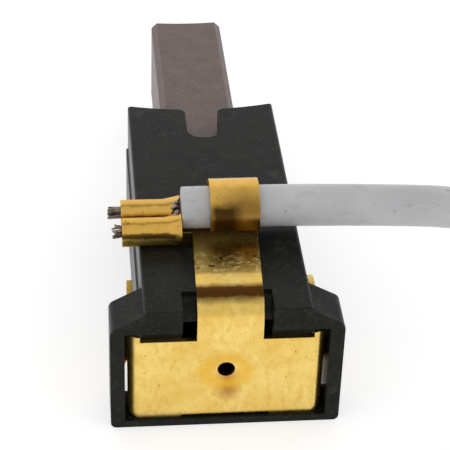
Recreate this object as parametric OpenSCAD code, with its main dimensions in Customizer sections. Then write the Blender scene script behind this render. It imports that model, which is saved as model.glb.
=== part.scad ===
// Carbon brush in a moulded holder, with a stamped contact clip and a crimped lead.
// The holder lies on z = 0, the carbon slides out along +Y, and the lead leaves along +X.
// Heights are counted from z = 0, and lengths in the holder from the rear face of its flange.

/* [Carbon] */
// Width of the carbon, across the holder
carbon_w = 6.3; // [5:0.1:8]
// Height of the carbon
carbon_h = 8; // [6:0.1:9]
// Length of the carbon
carbon_l = 30; // [26:0.5:32]
// How far the carbon stands out past the front corners of the holder
carbon_out = 17.7; // [10:0.1:19]
// Chamfer along the long edges of the carbon
carbon_chamfer = 0.5; // [0.2:0.05:1]
// Radius of the commutator that the carbon and the front of the holder are curved to
commutator_r = 24; // [18:0.5:40]

/* [Holder body] */
// Length of the holder from the rear of its flange to its front corners
body_l = 27.8; // [26:0.1:36]
// Side walls beside the carbon
side_wall = 2.8; // [1.8:0.05:4]
// Wall over the carbon
top_wall = 1.8; // [0.9:0.05:2.5]
// Wall under the carbon
bottom_wall = 0.7; // [0.65:0.05:2]
// Running gap on each side of the carbon
slide_gap = 0.1; // [0.04:0.01:0.3]
// Small rounding along the long top edges of the body
body_edge_r = 0.3; // [0.1:0.05:0.8]
// How far the lower half of each side stands out past the upper half
side_step = 0.15; // [0.05:0.05:0.4]
// Height of that step above the bottom
side_step_z = 6.4; // [4:0.1:8]
// Width of the sight notch in the front of the top wall
notch_w = 2.7; // [2:0.1:5]
// Length of the sight notch from the middle of the curved front
notch_l = 4.3; // [2.5:0.1:8]
// Rounding in the closed corners of the sight notch
notch_corner_r = 1.2; // [0.5:0.1:1.4]
// Rounding at the open corners of the sight notch
notch_mouth_r = 0.6; // [0.3:0.1:1]

/* [Flange] */
// Length of the flange along the holder
flange_l = 3.4; // [2.5:0.1:5]
// Side walls of the flange
flange_wall = 1.05; // [0.7:0.05:2]
// How far the top of the flange lies below the top of the body
flange_drop = 0.2; // [0.1:0.05:0.8]
// Bottom rail of the flange, under the contact clip
rail_h = 0.6; // [0.4:0.05:1]
// Width of the slanted top corners of the flange
slant_w = 2.7; // [1.5:0.1:3.5]
// Height of the slanted top corners of the flange
slant_h = 1.5; // [0.8:0.1:2.5]
// Rounding where the slants meet the sides
slant_r = 0.7; // [0.3:0.1:1]
// Rounding of the bottom corners of the flange
foot_r = 0.45; // [0.2:0.05:0.8]
// Gap between the contact clip and the flange at each side
pocket_side_gap = 0.2; // [0.15:0.05:0.8]
// Gap over the shoulders of the contact plate
pocket_top_gap = 1; // [0.7:0.05:1.2]

/* [Contact clip] */
// Thickness of the brass sheet
sheet_t = 0.45; // [0.3:0.05:0.6]
// Height of the rear contact plate up to its shoulders
plate_h = 7.1; // [6:0.1:8]
// How deep the plate lies in the flange
plate_recess = 0.3; // [0.1:0.05:0.6]
// Rounding of the bottom corners of the plate
plate_corner_r = 0.95; // [0.4:0.05:1.2]
// Outer radius of the bends between the plate and its arms
arm_bend_r = 0.9; // [0.7:0.05:1.2]
// Length of the arms from the rear face of the plate
arm_l = 6.9; // [6:0.1:9]
// Gap between the arms and the body
arm_gap = 0.7; // [0.5:0.05:1]
// How far the arms lean in towards the body at their tips
arm_toe = 0.2; // [0.05:0.05:0.3]
// How far the lower edge of the arms lies above the plate's lower edge
arm_rise = 0.95; // [0.5:0.05:2]
// How far the upper edge of the arms stands above the plate's shoulders
arm_shoulder = 0.45; // [0.1:0.05:0.55]
// Width of the shallow relief in the plate's lower edge
relief_w = 6.5; // [3:0.1:8]
// Depth of that relief
relief_h = 0.15; // [0.1:0.05:0.5]
// Diameter of the hole in the middle of the plate
plate_hole_d = 1.28; // [0.8:0.02:1.8]
// Depth of the dish that is pressed into the plate round the hole
dish_h = 0.3; // [0.1:0.05:0.8]
// Width of the neck between the plate and the top strip
neck_w = 4.8; // [3:0.1:6]
// Place of the middle of the neck, to the right of the middle of the plate
neck_x = 0.2; // [0:0.05:0.3]
// Gap between the neck and the sides of its notch
neck_side_gap = 0.85; // [0.4:0.05:1.5]
// Gap in front of the neck
neck_front_gap = 0.3; // [0.15:0.05:0.6]
// Outer radius of the bend over the edge of the holder
neck_bend_r = 2; // [1.2:0.05:2.3]
// Height of the locking barbs on the arms
barb_h = 3.2; // [2:0.1:4]
// Height of the barbs' lower edge above the bottom
barb_z = 2.3; // [1.8:0.1:4]
// How far the barbs spring out past the arms
barb_out = 0.75; // [0.6:0.05:0.9]

/* [Lead and terminal] */
// Outer diameter of the insulated lead
lead_d = 3.15; // [2:0.05:3.6]
// Distance from the rear of the flange to the axis of the lead
lead_y = 9.75; // [8:0.05:13]
// Gap between the insulation and the barrel round it
barrel_gap = 0.1; // [0.02:0.02:0.2]
// Length of the barrel round the insulation
barrel_l = 3.65; // [2.5:0.05:5]
// Place of the barrel's outer end, to the right of the middle
barrel_end_x = 2.9; // [2.6:0.05:4]
// Angle that the barrel's wing is wrapped through from the bottom
barrel_wrap = 295; // [260:5:320]
// Place of the left edge of the strip under the lead, left of the middle
strip_left_x = 2; // [1.6:0.05:2.4]
// Gap between the cut end of the insulation and the conductor crimp
bare_gap = 0.05; // [0.05:0.05:0.6]
// Place of the conductor crimp's inner end, left of the middle
crimp_x = 2.85; // [2.6:0.05:4]
// Length of the conductor crimp with its flared mouth
crimp_l = 4.4; // [3:0.1:5.2]
// Width of the conductor crimp
crimp_w = 4.25; // [3:0.05:4.6]
// Height of the conductor crimp
crimp_h = 1.95; // [1.6:0.05:2.4]
// Radius of the two rolled lobes of the crimp
lobe_r = 0.95; // [0.75:0.05:1]
// Length of the flared mouth of the crimp
flare_l = 1.2; // [0.6:0.1:1.6]
// How much wider the mouth is at each side
flare_out = 0.25; // [0.1:0.05:0.35]
// Diameter of one copper strand
strand_d = 0.3; // [0.2:0.02:0.36]
// How far the strands stand out of the crimp
strand_out = 1.0; // [0.4:0.1:1.4]

/* [Spring and shunt] */
// Diameter of the spring wire
spring_wire_d = 0.5; // [0.4:0.05:0.6]
// Gap between the spring and the sides of the cavity
spring_gap = 0.45; // [0.2:0.05:0.6]
// Active turns of the spring
spring_turns = 8; // [5:1:9]
// Play at each end of the spring
spring_seat_gap = 0.05; // [0.02:0.01:0.1]
// Diameter of the braided copper shunt
shunt_d = 1; // [0.7:0.05:1.2]
// Depth of the shunt's hole in the carbon
shunt_hole_l = 5; // [3:0.1:8]
// Diameter of the shunt's hole in the carbon, which is filled with packed powder
shunt_hole_d = 2; // [1.6:0.1:2.6]
// Gap between packed powder, shunt and carbon
tamping_gap = 0.02; // [0.01:0.01:0.05]

/* [Receptacle] */
// Thickness of the receptacle's sheet
receptacle_t = 0.4; // [0.3:0.05:0.45]
// Width of the receptacle over its rolled edges
receptacle_w = 7.6; // [7.2:0.1:8.4]
// Length of the rolled part that takes the tab
receptacle_box_l = 8; // [6:0.1:10]
// Outer radius of the rolled edges
roll_r = 1.3; // [1.1:0.05:1.5]
// Length of the bare conductor's crimp
receptacle_crimp_l = 3.4; // [2.6:0.1:4.5]
// Width of that crimp
receptacle_crimp_w = 3.4; // [3:0.1:4]
// Height of that crimp
receptacle_crimp_h = 1.9; // [1.7:0.1:2.4]
// Length of the insulation's crimp
receptacle_grip_l = 3.6; // [2.6:0.1:5]
// Width of the nylon tie round the coil
tie_w = 2.4; // [1.5:0.1:3.5]
// Thickness of the nylon tie
tie_t = 0.4; // [0.3:0.05:0.8]

/* [Hidden] */
$fn = 48;

cut = 1;                       // how far cutting shapes run past the faces that they cut
seat_gap = 0.05;               // play of the coil in its tie
crimp_corner_r = 0.4;          // rounding under the sides of a crimp
receptacle_lobe_r = 0.8;       // radius of the receptacle's rolled lobes
grip_wrap = 340;               // degrees the receptacle's grip wraps round the insulation
edge_wrap = 275;               // degrees the receptacle's edges are rolled
barb_t = 0.35;                 // thickness of a barb at its tip
barb_play = 0.15;              // from the front of the flange to the tip of a barb
barb_root = 0.9;               // from the tip of the arm to the root of its barb
floor_near = 0.85;             // reach of the terminal's floor towards the rear
floor_far = 1.1;               // reach of the terminal's floor towards the front
mouth_cut = 0.8;               // depth of the slanting cut in the far lobe's mouth

// The cavity follows the carbon, and the body follows the cavity
cavity_w = carbon_w + 2 * slide_gap;
cavity_h = carbon_h + 2 * slide_gap;
body_w = cavity_w + 2 * side_wall;
body_h = bottom_wall + cavity_h + top_wall;
cavity_z = bottom_wall + cavity_h / 2;
tip_y = body_l + carbon_out;
carbon_rear_y = tip_y - carbon_l;
front_sag = commutator_r - sqrt(pow(commutator_r, 2) - pow(body_w / 2, 2));

// The clip stands round the body, and the flange stands round the clip
clip_w = body_w + 2 * (arm_gap + sheet_t);
plate_top_z = rail_h + plate_h;
arm_bottom_z = rail_h + arm_rise;
arm_top_z = plate_top_z + arm_shoulder;
plate_front_y = plate_recess + sheet_t;
arm_tip_y = plate_recess + arm_l;
pocket_w = clip_w + 2 * pocket_side_gap;
pocket_top_z = plate_top_z + pocket_top_gap;
flange_w = pocket_w + 2 * flange_wall;
flange_h = body_h - flange_drop;
strip_top_z = body_h + sheet_t;
neck_notch_w = neck_w + 2 * neck_side_gap;
neck_notch_l = plate_front_y + neck_front_gap;
neck_bend_y = plate_recess + neck_bend_r;
neck_bend_z = strip_top_z - neck_bend_r;
saddle_r = neck_bend_r - sheet_t - neck_front_gap;
arm_bend_y = plate_recess + arm_bend_r;

// The lead lies on the strip, inside its barrel
barrel_in_r = lead_d / 2 + barrel_gap;
barrel_out_r = barrel_in_r + sheet_t;
lead_z = strip_top_z + barrel_in_r;
lead_end_x = -(crimp_x - bare_gap);
lobe_pitch = crimp_w - 2 * lobe_r;
strand_r = strand_d / 2;

// The spring and the dish fit inside each other and in the cavity
spring_d = min(cavity_w, cavity_h) - 2 * spring_gap;
spring_y0 = plate_front_y + spring_seat_gap;
spring_y1 = carbon_rear_y - spring_seat_gap;
dish_r = spring_d / 2 - spring_wire_d - seat_gap;

// Route of the lead from its cut end to the coil, as steps to the right, back and up
LEAD_ROUTE = [
    [0, 0, 0], [6, 0, 0], [11, 0, -0.1], [16, 0, -0.3], [20, 0, -0.6], [24, 0, -1.4], [28, 0, -2.6],
    [32, 0, -4.1], [36, 0, -5.6], [40, 0, -6.8], [44, 0, -7.5], [47, 0, -7.7],
];
// Route of the lead from the coil to the receptacle, as steps from the right-hand side of the coil
TAIL_ROUTE = [[0, 0, 0], [0, 7.5, 0], [0, 15.5, 0]];
coil_r = 17.5;
coil_lift = tie_t + seat_gap;
coil_h = 2 * lead_d;
tie_angle = -45;
lead_exit = [lead_end_x, lead_y, lead_z];
coil_x = lead_end_x + LEAD_ROUTE[len(LEAD_ROUTE) - 1][0];
coil_y = lead_y + coil_r;
receptacle_x = coil_x + coil_r;
receptacle_y = coil_y + TAIL_ROUTE[len(TAIL_ROUTE) - 1][1] - receptacle_grip_l;

BRASS = [0.85, 0.72, 0.35];
MOULDING = [0.2, 0.2, 0.19];
CARBON = [0.43, 0.38, 0.36];
COPPER = [0.6, 0.42, 0.3];
STEEL = [0.72, 0.72, 0.72];
INSULATION = [0.88, 0.89, 0.92];

// ---- Shared shapes ----

// Everything is drawn from the rear face of the flange, and the origin lies halfway along
module from_rear() {
    translate([0, -tip_y / 2, 0]) children();
}

// Sections drawn in Y and Z, run along X from x0 to x1
module along_x(x0, x1) {
    translate([x0, 0, 0]) rotate([90, 0, 90]) linear_extrude(x1 - x0) children();
}

// Sections drawn in X and Z, run along Y from y0 to y1
module along_y(y0, y1) {
    translate([0, y1, 0]) rotate([90, 0, 0]) linear_extrude(y1 - y0) children();
}

module both_sides() {
    children();
    mirror([1, 0, 0]) children();
}

function unit(v) = v / norm(v);
function half_angle(a, p, b) = acos(unit(a - p) * unit(b - p)) / 2;
function round_centre(a, p, b, r) = p + unit(unit(a - p) + unit(b - p)) * r / sin(half_angle(a, p, b));
function round_ends(a, p, b, r) =
    let (reach = r / tan(half_angle(a, p, b)))
    [p + unit(a - p) * reach, p + unit(b - p) * reach];

// Outline through the points, with a true arc of radii[i] in each outer corner that has one
module rounded_outline(points, radii) {
    last = len(points) - 1;
    function before(i) = points[i == 0 ? last : i - 1];
    function after(i) = points[i == last ? 0 : i + 1];
    polygon([
        for (i = [0 : last])
            each radii[i] > 0 ? round_ends(before(i), points[i], after(i), radii[i]) : [points[i]]
    ]);
    for (i = [0 : last])
        if (radii[i] > 0)
            translate(round_centre(before(i), points[i], after(i), radii[i])) circle(radii[i]);
}

// Rectangle with true round corners, from its lower left corner
module rounded_rect(size, r) {
    rounded_outline([[0, 0], [size[0], 0], size, [0, size[1]]], [r, r, r, r]);
}

// Rolled strip of sheet round the middle, from angle a0 on through the angle given
module rolled(r_out, t, a0, sweep) {
    open_from = a0 + sweep;
    open = 360 - sweep;
    far = 4 * r_out;
    steps = 4;
    difference() {
        circle(r_out);
        circle(r_out - t);
        polygon([
            [0, 0],
            for (i = [0 : steps])
                far * [cos(open_from + open * i / steps), sin(open_from + open * i / steps)],
        ]);
    }
}

// Ring of points square to the direction t at p
function ring(p, t, r, sides, up) =
    let (n = unit(cross(t, up)), b = unit(cross(n, t)))
    [for (k = [0 : sides - 1]) p + r * (cos(360 * k / sides) * n + sin(360 * k / sides) * b)];

function heading(path, i) =
    let (last = len(path) - 1)
    unit(path[min(i + 1, last)] - path[max(i - 1, 0)]);

// Round wire along a path
module wire(path, r, sides, up) {
    last = len(path) - 1;
    points = [for (i = [0 : last]) each ring(path[i], heading(path, i), r, sides, up)];
    walls = [
        for (i = [0 : last - 1], k = [0 : sides - 1])
            let (a = i * sides + k, b = i * sides + (k + 1) % sides)
            each [[a, a + sides, b + sides], [a, b + sides, b]]
    ];
    start = [for (k = [0 : sides - 1]) k];
    end = [for (k = [sides - 1 : -1 : 0]) last * sides + k];
    polyhedron(points, concat(walls, [start], [end]), convexity = 10);
}

// ---- Holder ----

module body_section() {
    upper = body_w / 2;
    lower = upper + side_step;
    rounded_outline(
        [
            [-lower, 0], [lower, 0], [lower, side_step_z], [upper, side_step_z + side_step],
            [upper, body_h], [-upper, body_h], [-upper, side_step_z + side_step], [-lower, side_step_z],
        ],
        [0, 0, 0, 0, body_edge_r, body_edge_r, 0, 0]
    );
}

module flange_section() {
    side = flange_w / 2;
    rounded_outline(
        [
            [-side, 0], [side, 0], [side, flange_h - slant_h], [side - slant_w, flange_h],
            [slant_w - side, flange_h], [-side, flange_h - slant_h],
        ],
        [foot_r, foot_r, slant_r, 0, 0, slant_r]
    );
}

// Cutter of the sight notch: closed corners rounded, open corners flared
module sight_notch() {
    front = body_l + cut;
    closed_y = body_l - front_sag - notch_l;
    half = notch_w / 2;
    mouth_x = half + notch_mouth_r;
    mouth_rise = commutator_r - sqrt(pow(commutator_r, 2) - pow(mouth_x, 2));
    mouth_y = body_l - front_sag + mouth_rise - notch_mouth_r;
    translate([0, 0, cavity_z]) linear_extrude(body_h) {
        translate([-half, closed_y])
            rounded_outline(
                [[0, 0], [notch_w, 0], [notch_w, front - closed_y], [0, front - closed_y]],
                [notch_corner_r, notch_corner_r, 0, 0]
            );
        both_sides() difference() {
            translate([0, mouth_y]) square([mouth_x, front - mouth_y]);
            translate([mouth_x, mouth_y]) circle(notch_mouth_r);
        }
    }
}

module housing() color(MOULDING) from_rear() difference() {
    union() {
        along_y(0, body_l + cut) body_section();
        along_y(0, flange_l) flange_section();
    }
    // cavity of the carbon and its spring
    translate([-cavity_w / 2, -cut, bottom_wall]) cube([cavity_w, body_l + 2 * cut, cavity_h]);
    // pocket of the contact plate
    translate([-pocket_w / 2, -cut, rail_h])
        cube([pocket_w, plate_front_y + cut, pocket_top_z - rail_h]);
    // slots of the arms, open through the flange
    both_sides() translate([body_w / 2 + side_step, -cut, rail_h])
        cube([pocket_w / 2 - body_w / 2 - side_step, flange_l + 2 * cut, pocket_top_z - rail_h]);
    // notch of the neck, with a round saddle under the bend
    translate([-neck_notch_w / 2, -cut, pocket_top_z - cut])
        cube([neck_notch_w, neck_notch_l + cut, body_h]);
    difference() {
        translate([-neck_notch_w / 2, 0, neck_bend_z]) cube([neck_notch_w, neck_bend_y, body_h]);
        along_x(-neck_notch_w, neck_notch_w) translate([neck_bend_y, neck_bend_z]) circle(saddle_r);
    }
    sight_notch();
    // front curved to the commutator
    translate([0, body_l - front_sag + commutator_r, -cut])
        cylinder(r = commutator_r, h = body_h + 2 * cut, $fn = 96);
}

// ---- Contact clip ----

// Outline of plate and neck from behind
module plate_outline() {
    side = clip_w / 2;
    difference() {
        union() {
            rounded_outline(
                [[-side, rail_h], [side, rail_h], [side, arm_top_z], [-side, arm_top_z]],
                [plate_corner_r, plate_corner_r, 0, 0]
            );
        }
        // shoulders a little lower than the arms
        translate([arm_bend_r - side, plate_top_z]) square([clip_w - 2 * arm_bend_r, arm_shoulder + cut]);
        // relief in the lower edge
        translate([-relief_w / 2, rail_h - cut]) square([relief_w, relief_h + cut]);
    }
}

// Depth of the dish at a distance r from its middle
function dish_depth(r) = dish_h * (1 + cos(180 * r / dish_r)) / 2;

// Section of the dish's sheet, from the hole to its rim
module dish_section() {
    steps = 8;
    hole_r = plate_hole_d / 2;
    radii = [for (i = [0 : steps]) hole_r + (dish_r - hole_r) * i / steps];
    polygon([
        for (r = radii) [r, dish_depth(r)],
        for (i = [steps : -1 : 0]) [radii[i], dish_depth(radii[i]) + sheet_t],
    ]);
}

// Half width of the clip at a distance y from the rear
function arm_x(y) = clip_w / 2 - arm_toe * (y - plate_recess) / arm_l;

module plate_and_arms() {
    inner_start_x = arm_x(plate_front_y) - sheet_t;
    inner_end_x = arm_x(arm_tip_y + cut) - sheet_t;
    // the bent sheet from above, cut to its outline from behind
    intersection() {
        linear_extrude(strip_top_z) difference() {
            rounded_outline(
                [
                    [-clip_w / 2, plate_recess], [clip_w / 2, plate_recess],
                    [arm_x(arm_tip_y), arm_tip_y], [-arm_x(arm_tip_y), arm_tip_y],
                ],
                [arm_bend_r, arm_bend_r, 0, 0]
            );
            rounded_outline(
                [
                    [-inner_start_x, plate_front_y], [inner_start_x, plate_front_y],
                    [inner_end_x, arm_tip_y + cut], [-inner_end_x, arm_tip_y + cut],
                ],
                [arm_bend_r - sheet_t, arm_bend_r - sheet_t, 0, 0]
            );
        }
        along_y(0, arm_tip_y + cut) plate_outline();
    }
}

// Locking barb: a tongue that leans out of the arm towards the flange
module barb() {
    root_y = arm_tip_y - barb_root;
    end_y = flange_l + barb_play;
    end_x = clip_w / 2 + barb_out;
    translate([0, 0, barb_z]) linear_extrude(barb_h)
        polygon([
            [arm_x(root_y) - sheet_t / 2, root_y], [arm_x(root_y) - sheet_t / 2, root_y - 2 * barb_t],
            [end_x - barb_t, end_y], [end_x, end_y], [arm_x(root_y), root_y],
        ]);
}

module neck_bend() {
    translate([neck_x, neck_bend_y, neck_bend_z]) intersection() {
        along_x(-neck_w / 2, neck_w / 2) rolled(neck_bend_r, sheet_t, 90, 90);
        translate([-neck_w / 2, -neck_bend_r, 0]) cube([neck_w, neck_bend_r, neck_bend_r]);
    }
}

// Strip on top of the body, and the floor of the terminal at its end
module strip() {
    half = neck_w / 2;
    translate([0, 0, body_h]) linear_extrude(sheet_t) {
        polygon([
            [neck_x - half, neck_bend_y], [neck_x + half, neck_bend_y], [barrel_end_x, lead_y - floor_near],
            [barrel_end_x, lead_y], [-strip_left_x, lead_y + floor_far], [-strip_left_x, lead_y - floor_near],
        ]);
        translate([-crimp_x, lead_y - floor_near])
            square([crimp_x + barrel_end_x - barrel_l, floor_near + floor_far]);
    }
}

// Wing that is wrapped over the insulation from the far side
module insulation_barrel() {
    translate([0, lead_y, lead_z])
        along_x(barrel_end_x - barrel_l, barrel_end_x)
            rolled(barrel_out_r, sheet_t, -90, barrel_wrap);
}

// Closed crimp: a flat floor, two sides and two lobes that roll inwards
module crimp_outline(w, h, r) {
    translate([-w / 2, 0]) rounded_outline(
        [[0, 0], [w, 0], [w, h - r], [0, h - r]], [crimp_corner_r, crimp_corner_r, 0, 0]
    );
    both_sides() translate([w / 2 - r, h - r]) circle(r);
}

module crimp_body(x0, x1, w, h, r, flare, flare_r) {
    along_x(x0, x1) crimp_outline(w, h, r);
    // flared mouth, flat under its floor
    difference() {
        for (side = [-1, 1]) translate([x1 - flare, side * (w / 2 - r), h - r]) rotate([0, 90, 0])
            cylinder(r1 = r, r2 = r + flare_r, h = flare);
        translate([x1 - 2 * flare, -w, -h]) cube([3 * flare, 2 * w, h]);
    }
}

// Room for the strands inside the crimp
module crimp_room(x0, x1, w, h, r, t) {
    room_r = r - t;
    along_x(x0 - cut, x1 + cut) {
        translate([-w / 2 + t, t]) square([w - 2 * t, h - r - t]);
        both_sides() translate([w / 2 - r, h - r]) circle(room_r);
    }
}

module conductor_crimp() {
    translate([0, lead_y, body_h]) difference() {
        crimp_body(-crimp_x - crimp_l, -crimp_x, crimp_w, crimp_h, lobe_r, flare_l, flare_out);
        crimp_room(-crimp_x - crimp_l, -crimp_x, crimp_w, crimp_h, lobe_r, sheet_t);
        // mouth of the far lobe, cut back slantwise
        translate([-crimp_x, 0, sheet_t]) linear_extrude(crimp_h)
            polygon([[cut, 0], [cut, lobe_pitch / 2], [0, lobe_pitch / 2], [-mouth_cut, 0]]);
    }
}

module contact_clip() color(BRASS) from_rear() {
    difference() {
        union() {
            plate_and_arms();
            along_y(plate_recess, plate_front_y) translate([neck_x - neck_w / 2, plate_top_z - cut])
                square([neck_w, neck_bend_z - plate_top_z + cut]);
        }
        translate([0, plate_recess - cut, cavity_z]) rotate([-90, 0, 0])
            cylinder(r = dish_r, h = sheet_t + 2 * cut);
        // the arms end higher than the lower edge of the plate
        translate([-clip_w, arm_bend_y, rail_h - cut]) cube([2 * clip_w, arm_l, arm_rise + cut]);
    }
    translate([0, plate_recess, cavity_z]) rotate([-90, 0, 0])
        rotate_extrude() dish_section();
    both_sides() barb();
    neck_bend();
    strip();
    insulation_barrel();
    conductor_crimp();
}

// ---- Carbon, spring and shunt ----

module carbon() color(CARBON) from_rear() difference() {
    translate([0, 0, cavity_z])
        along_y(carbon_rear_y, tip_y)
            polygon([
                for (s = [[1, -1], [1, 1], [-1, 1], [-1, -1]])
                    let (x = s[0] * carbon_w / 2, z = s[1] * carbon_h / 2, c = carbon_chamfer)
                    each s[0] * s[1] > 0
                        ? [[x, z - s[1] * c], [x - s[0] * c, z]]
                        : [[x - s[0] * c, z], [x, z - s[1] * c]]
            ]);
    translate([0, tip_y + sqrt(pow(commutator_r, 2) - pow(carbon_w / 2, 2)), cavity_z - carbon_h])
        cylinder(r = commutator_r, h = 2 * carbon_h, $fn = 96);
    translate([0, carbon_rear_y - cut, cavity_z]) rotate([-90, 0, 0])
        cylinder(d = shunt_hole_d, h = shunt_hole_l + cut);
}

// Turns of the spring, close together at both ends where they lie flat
function spring_rise(turn) =
    let (closed = 1, last = spring_turns + 2 * closed, room = spring_y1 - spring_y0 - spring_wire_d)
    turn < closed ? turn * spring_wire_d
    : turn > last - closed ? room - (last - turn) * spring_wire_d
    : spring_wire_d + (turn - closed) / spring_turns * (room - 2 * spring_wire_d);

module spring() color(STEEL) from_rear() {
    steps = 16;
    coil_radius = (spring_d - spring_wire_d) / 2;
    path = [
        for (i = [0 : steps * (spring_turns + 2)])
            let (a = 360 * i / steps, y = spring_y0 + spring_wire_d / 2 + spring_rise(i / steps))
            [coil_radius * cos(a), y, cavity_z + coil_radius * sin(a)]
    ];
    wire(path, spring_wire_d / 2, 6, [0, 1, 0]);
}

// Braid from the flank of the dish, where it is welded, into the packed powder in the carbon
module shunt() color(COPPER) from_rear() {
    weld_r = 0.6 * dish_r;
    start_y = plate_recess + dish_depth(weld_r) + sheet_t / 2;
    end_y = carbon_rear_y + shunt_hole_l - 1;
    steps = 14;
    path = [
        for (i = [0 : steps])
            let (u = i / steps, lean = (1 + cos(180 * min(1, 1.6 * u))) / 2)
            [0.35 * sin(360 * u) * lean, start_y + (end_y - start_y) * u, cavity_z + weld_r * lean]
    ];
    wire(path, shunt_d / 2, 8, [0, 0, 1]);
}

module tamping() color([0.5, 0.36, 0.28]) from_rear()
    translate([0, carbon_rear_y, cavity_z]) rotate([-90, 0, 0]) difference() {
        cylinder(d = shunt_hole_d - 2 * tamping_gap, h = shunt_hole_l - tamping_gap);
        translate([0, 0, -cut])
            cylinder(d = shunt_d + 2 * tamping_gap, h = shunt_hole_l - 1 + cut + tamping_gap);
    }

// ---- Lead ----

// Strands side by side in one lobe, which spread as they leave the crimp
module strand_bundle(count, length, spread) {
    rotate([0, -90, 0]) {
        cylinder(r = strand_r, h = length);
        for (i = [0 : count - 1])
            rotate(360 * i / count) translate([strand_d * 0.92, 0, 0]) rotate([0, spread, 0])
                cylinder(r = strand_r, h = length * (1 - 0.15 * (i % 2)));
    }
}

module crimped_core(x0, x1, w, h, r, t) {
    play = 0.03;
    along_x(x0, x1) {
        translate([-w / 2 + t + play, t + play]) square([w - 2 * (t + play), h - r - t - play]);
        both_sides() translate([w / 2 - r, h - r]) circle(r - t - play);
    }
}

module bare_strands() color(COPPER) from_rear() translate([0, lead_y, body_h]) {
    left = -crimp_x - crimp_l;
    crimped_core(left + 0.3, -crimp_x - flare_l, crimp_w, crimp_h, lobe_r, sheet_t);
    translate([left + 0.6, lobe_pitch / 2, crimp_h - lobe_r]) strand_bundle(6, strand_out + 0.6, 6);
    translate([left + 0.6, -lobe_pitch / 2, crimp_h - lobe_r])
        strand_bundle(5, strand_out + 0.3, 12);
}

module lead_wire() color(INSULATION) from_rear()
    wire([for (p = LEAD_ROUTE) lead_exit + p], lead_d / 2, 8, [0, 0, 1]);

module lead_coil() color(INSULATION) from_rear()
    translate([coil_x, coil_y, coil_lift]) rotate_extrude() {
        translate([coil_r - lead_d / 2, lead_d / 2]) square([lead_d, coil_h - lead_d]);
        translate([coil_r, lead_d / 2]) circle(d = lead_d);
        translate([coil_r, coil_h - lead_d / 2]) circle(d = lead_d);
    }

module lead_tail() color(INSULATION) from_rear()
    wire(
        [for (p = TAIL_ROUTE) [receptacle_x, coil_y, coil_lift + lead_d / 2] + p],
        lead_d / 2, 8, [0, 0, 1]
    );

module coil_tie() color([0.93, 0.93, 0.9]) from_rear()
    translate([coil_x, coil_y, 0]) rotate(tie_angle) translate([coil_r, 0, 0]) {
        room_w = lead_d + 4 * seat_gap;
        room_h = coil_h + 2 * seat_gap;
        along_y(-tie_w / 2, tie_w / 2) difference() {
            translate([-room_w / 2 - tie_t, 0]) rounded_rect([room_w + 2 * tie_t, room_h + 2 * tie_t], 1);
            translate([-room_w / 2, tie_t]) rounded_rect([room_w, room_h], 0.6);
        }
        // head with the cut tail of the band
        translate([room_w / 2, -tie_w / 2 - 0.6, 1.2]) cube([2.6, tie_w + 1.2, 4]);
        translate([room_w / 2 + 1, -tie_w / 2, 5.1]) cube([tie_t, tie_w, 1.4]);
    }

// ---- Receptacle ----

module receptacle() color(BRASS) from_rear() translate([receptacle_x, receptacle_y, 0]) {
    t = receptacle_t;
    grip_r = lead_d / 2 + seat_gap + t;
    crimp_y = receptacle_grip_l + 0.8;
    neck_y = crimp_y + receptacle_crimp_l;
    box_y = neck_y + 1.6;
    floor_half = receptacle_w / 2 - roll_r;
    difference() {
        union() {
            // grip round the insulation
            along_y(0, receptacle_grip_l) translate([0, grip_r]) rolled(grip_r, t, 100, grip_wrap);
            // conductor crimp
            translate([0, crimp_y, 0]) rotate(90)
                crimp_body(
                    0, receptacle_crimp_l, receptacle_crimp_w, receptacle_crimp_h, receptacle_lobe_r, 0.8, 0.1
                );
            // floor, from the grip to the rolled part
            linear_extrude(t) polygon([
                [-1, receptacle_grip_l - cut], [1, receptacle_grip_l - cut], [1.3, crimp_y + 0.2],
                [1.3, neck_y - 0.2], [floor_half, box_y], [floor_half, box_y + cut],
                [-floor_half, box_y + cut], [-floor_half, box_y],
                [-1.3, neck_y - 0.2], [-1.3, crimp_y + 0.2],
            ]);
            // rolled part
            along_y(box_y, box_y + receptacle_box_l) {
                translate([-floor_half, 0]) square([2 * floor_half, t]);
                both_sides() translate([floor_half, roll_r]) rolled(roll_r, t, -90, edge_wrap);
            }
        }
        translate([0, crimp_y, 0]) rotate(90)
            crimp_room(0, receptacle_crimp_l, receptacle_crimp_w, receptacle_crimp_h, receptacle_lobe_r, t);
        // catch hole
        translate([0, box_y + receptacle_box_l / 2, -cut]) cylinder(d = 1.6, h = t + 2 * cut);
    }
}

module receptacle_strands() color(COPPER) from_rear()
    translate([receptacle_x, receptacle_y + receptacle_grip_l + 0.8, 0]) rotate(90)
        crimped_core(
            -0.7, receptacle_crimp_l + 0.4, receptacle_crimp_w, receptacle_crimp_h, receptacle_lobe_r,
            receptacle_t
        );

housing();
contact_clip();
carbon();
spring();
shunt();
tamping();
bare_strands();
lead_wire();
lead_coil();
lead_tail();
coil_tie();
receptacle();
receptacle_strands();
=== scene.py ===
"""Dresses a carbon brush in its holder: finishes, lead, strands, spring, shunt and stage."""

import math

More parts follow.
